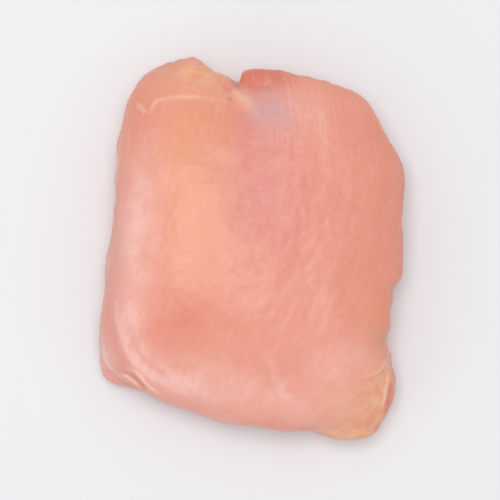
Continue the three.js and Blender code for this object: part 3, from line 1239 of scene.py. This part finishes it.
    def colour(self, shader: Shader, patterns: Patterns) -> Value:
        """Builds the colour of the meat.

        Args:
            shader: The shader.
            patterns: The patterns of the meat.

        Returns:
            The colour.
        """
        blotches = shader.graded(shader.speckled(patterns.place, self.blotch), self.blotch_span)
        base = shader.mix(blotches * self.blotch_share, self.flesh, self.deep)
        for tint, (colour, share) in self.layers(shader, patterns).items():
            base = shader.mix(shader.attribute(tint.value) * share, base, colour)
        contrast = self.fibre_contrast + self.bare_contrast * shader.attribute(Tint.BARE.value)
        contrast = contrast - self.film_contrast * shader.attribute(Tint.FILM_AND_SHEEN.value)
        pale_fibres = shader.graded(patterns.fibres, self.fibre_span)
        red_fibres = shader.graded(1 - patterns.fibres, self.fibre_span)
        pale_pores = shader.graded(patterns.pores, self.pore_span)
        base = shader.mix(pale_fibres * contrast, base, self.film)
        base = shader.mix(red_fibres * contrast, base, self.bare)
        base = shader.mix(pale_pores * self.pore_share, base, self.film)
        # Painted shade: the creases are darkened towards the crease colour.
        return shader.mix(shader.attribute(CREASE_SHADE) * self.crease_shade_share, base, self.crease)


@dataclass(frozen=True)
class PaleFloor:
    """The finish of the floor, pale and matt."""

    colour: Colour = (0.8, 0.8, 0.81, 1.0)
    roughness: float = 0.7

    def build(self) -> bpy.types.Material:
        """Builds the material.

        Returns:
            The material.
        """
        shader = Shader("floor")
        inputs = {"Base Color": self.colour, "Roughness": self.roughness}
        return shader.finished(shader.node("ShaderNodeBsdfPrincipled", {}, inputs))


@dataclass(frozen=True)
class Grain:
    """The way the fibres run: along the thigh, down its sides, and slantwise below it.

    Attributes:
        wrap: How far from the middle the fibres turn down the sides.
        straight: How far from the back end they start to slant.
        bend: The length over which they take up that slant.
        slant: How far they then go sideways for each millimetre along.
        wander: How they sway.
        under_height: How high the underside's own fibres reach.
        under_facing: How far up a vertex may face there.
        under_way: The way across the fibres below.
        under_shift: What parts the pattern below from the rest.
    """

    wrap: float = 18
    straight: float = 20
    bend: float = 30
    slant: float = 0.75
    wander: Blotches = Blotches(size=16, seed=3)
    under_height: float = 2.5
    under_facing: float = -0.3
    under_way: tuple[float, float] = (0.64, 0.77)
    under_shift: float = 9.0

    def on(self, skin: Skin) -> np.ndarray:
        """Works out coordinates that run across and along the fibres.

        Args:
            skin: The surface.

        Returns:
            Millimetres across, millimetres along, and a number that parts the underside from the rest.
        """
        x, y, z = skin.points.T
        below = HIGH[2] - z
        ahead = np.maximum(HIGH[1] - self.straight - y, 0) / self.bend
        slanted = self.slant * self.bend * (ahead - 1 + np.exp(-ahead))
        across = x + np.tanh(x / self.wrap) * below + slanted + self.wander.on(skin.points)
        along = y + np.tanh(y / self.wrap) * below
        under = (z < self.under_height) & (skin.normals[:, 2] < self.under_facing)
        way_x, way_y = self.under_way
        across = np.where(under, way_x * x + way_y * y, across)
        along = np.where(under, way_x * y - way_y * x, along)
        return np.stack([across, along, self.under_shift * under], axis=1)


class Depth(NamedTuple):
    """How deep a pattern is where the meat lies flat, and how much deeper where it slopes."""

    flat: float
    more: float

    def over(self, slope: np.ndarray) -> np.ndarray:
        """Gives the depth at each vertex."""
        return self.flat + self.more * slope


@dataclass(frozen=True)
class Relief:
    """The unevenness of the meat: waves, bundles of fibres, fine pebbles and lumps of fat.

    Attributes:
        sway: How the bundles of fibres sway besides the grain.
        draw: How little a length along the grain counts, so that the bundles are drawn out.
        bundle_level: The height in a bundle that lies at the surface.
        pebbles: The fine unevenness all over.
    """

    waves: Blotches = Blotches(size=12, seed=1)
    wave_depth: Depth = Depth(flat=0.3, more=0.6)
    ripples: Blotches = Blotches(size=5, seed=2)
    ripple_depth: Depth = Depth(flat=0.1, more=0.3)
    sway: Blotches = Blotches(size=7, seed=12, strength=1.6)
    draw: float = 0.09
    bundles: Blotches = Blotches(size=3.6, seed=7)
    bundle_depth: Depth = Depth(flat=0.06, more=0.72)
    bundle_level: float = 0.2
    strands: Blotches = Blotches(size=1.6, seed=8)
    strand_depth: Depth = Depth(flat=0.02, more=0.14)
    pebbles: Blotches = Blotches(size=1.8, seed=9, strength=0.07)
    lumps: Lumps = Lumps(size=4.4, seed=1, strength=0.9)
    small_lumps: Lumps = Lumps(size=2.1, seed=2, strength=0.35)

    def heights(self, skin: Skin, grain: np.ndarray, fat: np.ndarray) -> np.ndarray:
        """Works out how far the relief lifts each vertex.

        Args:
            skin: The surface.
            grain: The coordinates of each vertex across and along the fibres.
            fat: How fat each vertex is.

        Returns:
            The heights.
        """
        points = skin.points
        side = skin.sloping(Slope.SIDE)
        steep = skin.sloping(Slope.STEEP)
        lean = 1 - fat
        run = grain.copy()
        run[:, 0] += self.sway.on(points)
        run[:, 1] *= self.draw
        height = self.wave_depth.over(side) * self.waves.on(points)
        height += self.ripple_depth.over(side) * self.ripples.on(points)
        height += lean * self.bundle_depth.over(steep) * (np.abs(self.bundles.on(run)) - self.bundle_level)
        height += lean * self.strand_depth.over(steep) * self.strands.on(run)
        height += self.pebbles.on(points)
        height += fat * (self.lumps.on(points) + self.small_lumps.on(points))
        return height


@dataclass(frozen=True)
class Thigh:
    """The whole piece of meat.

    Attributes:
        voxel: The size of the mesh's faces.
        smoothing: How many rounds take the facets away, each by smooth_factor.
        crease_rounds: How wide the creases are that keep their shape, as rounds of evening out.
        crease_start: How deep they start to count, and crease_depth how deep they count fully.
        crease_hold: How much of the smoothing a full crease is kept from.
        softening: How far the edges of the marks are evened out, in softening_rounds.
        shade_from: How deep a hollow starts to darken, and shade_full where it is darkest.
        shade_rounds: How wide such hollows are, and shade_blur how soft their shade is.
        side_bare: How bare the sides are, and side_film how much film they have.
        ragged: What the tints' edges are made uneven by.
    """

    node: str = "chicken_thigh"
    voxel: float = 0.5
    smoothing: int = 40
    smooth_factor: float = 0.5
    crease_rounds: int = 6
    crease_start: float = 0.048
    crease_depth: float = 0.16
    crease_hold: float = 0.85
    softening: float = 0.8
    softening_rounds: int = 2
    shade_from: float = 0.06
    shade_full: float = 0.4
    shade_rounds: int = 8
    shade_blur: int = 2
    side_bare: Blotches = Blotches(size=9, seed=10, strength=0.6, level=0.2)
    side_film: Blotches = Blotches(size=7, seed=11, strength=0.5, level=0.1)
    ragged: Blotches = Blotches(size=4, seed=5, strength=0.45, level=1)
    finely_ragged: Blotches = Blotches(size=1.5, seed=6, strength=0.3)
    folds: tuple[Fold, ...] = (OuterMuscle(), InnerMuscle(), FatCorner(), TuckedFlaps())
    grain: Grain = Grain()
    relief: Relief = Relief()
    finish: RawMeat = RawMeat()

    def copy_solid(self) -> bpy.types.Object:
        """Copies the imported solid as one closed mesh.

        Returns:
            The copy, with its shared vertices merged.
        """
        piece = bpy.data.objects.new("thigh_meat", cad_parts[self.node].data.copy())
        bpy.context.scene.collection.objects.link(piece)
        bpy.ops.object.select_all(action="DESELECT")
        piece.select_set(True)
        bpy.context.view_layer.objects.active = piece
        bpy.ops.object.mode_set(mode="EDIT")
        bpy.ops.mesh.select_all(action="SELECT")
        bpy.ops.mesh.remove_doubles(threshold=MICRON)
        bpy.ops.object.mode_set(mode="OBJECT")
        return piece

    def refine(self, piece: bpy.types.Object) -> None:
        """Gives the copy a fine, even mesh, and smooths its facets more than its creases.

        Args:
            piece: The copy.
        """
        remesh = piece.modifiers.new("fine mesh", "REMESH")
        remesh.mode = "VOXEL"
        remesh.voxel_size = self.voxel * MM
        bpy.ops.object.modifier_apply(modifier=remesh.name)
        kept = smoothstep(self.crease_start, self.crease_depth, Skin(piece).hollows(self.crease_rounds))
        group = piece.vertex_groups.new(name="open surface")
        for index, share in enumerate(kept):
            group.add([index], 1 - self.crease_hold * share, "REPLACE")
        smooth = piece.modifiers.new("facets away", "SMOOTH")
        smooth.vertex_group = group.name
        smooth.iterations = self.smoothing
        smooth.factor = self.smooth_factor
        bpy.ops.object.modifier_apply(modifier=smooth.name)

    def press(self, skin: Skin) -> None:
        """Presses the marks of every fold into the surface, and softens their edges.

        Args:
            skin: The surface.
        """
        for fold in self.folds:
            for mark in fold.marks().values():
                skin.push(mark.moves(skin))
        skin.push(self.softening * skin.evening(self.softening_rounds))

    def tints(self, skin: Skin) -> dict[Tint, np.ndarray]:
        """Adds up the stains of every fold, with ragged edges.

        Args:
            skin: The surface.

        Returns:
            How strongly each tint shows at each vertex, from 0 to 1.
        """
        totals = {tint: np.zeros(len(skin.points)) for tint in Tint}
        for fold in self.folds:
            for stain in fold.stains().values():
                totals[stain.tint] += stain.strength * stain.area.grades(skin)
        side = skin.sloping(Slope.SIDE)
        totals[Tint.BARE] += side * self.side_bare.on(skin.points)
        totals[Tint.FILM_AND_SHEEN] += side * self.side_film.on(skin.points)
        uneven = self.ragged.on(skin.points) + self.finely_ragged.on(skin.points)
        return {tint: np.clip(total * uneven, 0, 1) for tint, total in totals.items()}

    def shade(self, skin: Skin) -> np.ndarray:
        """Grades the painted shade of each vertex: how deep in a crease it lies, softly.

        Args:
            skin: The surface.

        Returns:
            From 0 to 1.
        """
        deep = smoothstep(self.shade_from, self.shade_full, skin.hollows(self.shade_rounds))
        return skin.blurred(deep[:, None], self.shade_blur)[:, 0]

    def build(self) -> bpy.types.Object:
        """Builds the piece.

        Returns:
            The finished piece.
        """
        piece = self.copy_solid()
        self.refine(piece)
        skin = Skin(piece)
        self.press(skin)
        tints = self.tints(skin)
        grain = self.grain.on(skin)
        heights = self.relief.heights(skin, grain, tints[Tint.FAT])
        skin.push(skin.normals * heights[:, None])
        for tint, grades in tints.items():
            skin.paint(tint.value, grades)
        # Paints shade into the creases.
        skin.paint(CREASE_SHADE, self.shade(skin))
        skin.paint(GRAIN, grain)
        bpy.ops.object.shade_smooth()
        piece.data.materials.clear()
        piece.data.materials.append(self.finish.build())
        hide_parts(self.node)
        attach(piece, "root")
        return piece


class Lamp(NamedTuple):
    """A soft square light that faces the thigh."""

    name: str
    place: Triple
    size: float
    power: float

    def build(self) -> None:
        """Makes the light."""
        data = bpy.data.lights.new(self.name, "AREA")
        data.energy = self.power
        data.size = self.size
        lamp = bpy.data.objects.new(self.name, data)
        lamp.location = self.place
        lamp.rotation_euler = (-Vector(self.place)).to_track_quat("-Z", "Y").to_euler()
        bpy.context.scene.collection.objects.link(lamp)


@dataclass(frozen=True)
class Studio:
    """The camera that looks straight down, the pale floor and the soft lights.

    Attributes:
        lens: The focal length, in millimetres, and sensor the sensor's width.
        frame_height: The height of the picture at the thigh's waist, in metres.
        waist: How high the thigh is widest, in metres.
    """

    lens: float = 150.0
    sensor: float = 36.0
    frame_height: float = 0.126
    waist: float = 0.011
    room: Colour = (0.97, 0.98, 1.0, 1.0)
    room_strength: float = 0.64
    floor_size: float = 4.0
    floor_finish: PaleFloor = PaleFloor()
    lamps: tuple[Lamp, ...] = (
        Lamp("overhead", place=(-0.02, 0.08, 0.65), size=0.3, power=2.0),
        Lamp("low left", place=(-0.5, -0.42, 0.3), size=0.3, power=0.35),
    )

    def build_camera(self) -> None:
        """Builds the camera, straight above the thigh."""
        data = bpy.data.cameras.new("camera")
        data.lens = self.lens
        data.sensor_width = self.sensor
        camera = bpy.data.objects.new("camera", data)
        height = self.waist + self.frame_height * self.lens / self.sensor
        camera.location = (MIDDLE[0] * MM, MIDDLE[1] * MM, height)
        bpy.context.scene.collection.objects.link(camera)
        bpy.context.scene.camera = camera

    def build_floor(self) -> None:
        """Builds the floor."""
        bpy.ops.mesh.primitive_plane_add(size=self.floor_size, location=(0, 0, 0))
        floor = bpy.context.object
        floor.name = "floor"
        floor.data.materials.append(self.floor_finish.build())

    def build_light(self) -> None:
        """Builds the lamps and the even light of the room."""
        for lamp in self.lamps:
            lamp.build()
        world = bpy.data.worlds.new("room")
        world.use_nodes = True
        background = world.node_tree.nodes["Background"]
        background.inputs["Color"].default_value = self.room
        background.inputs["Strength"].default_value = self.room_strength
        bpy.context.scene.world = world

    def build(self) -> None:
        """Builds the camera, the floor and the light."""
        self.build_camera()
        self.build_floor()
        self.build_light()
        bpy.context.scene.view_settings.view_transform = "Standard"


def report(piece: bpy.types.Object) -> None:
    """Logs how fine a piece is."""
    triangles = sum(len(polygon.vertices) - 2 for polygon in piece.data.polygons)
    LOG.info("%s has %d triangles", piece.name, triangles)


def main() -> None:
    """Builds the studio and the thigh, and reports the piece."""
    logging.basicConfig(level=logging.INFO, format="%(name)s: %(message)s")
    Studio().build()
    report(Thigh().build())


if __name__ == "__main__":
    main()
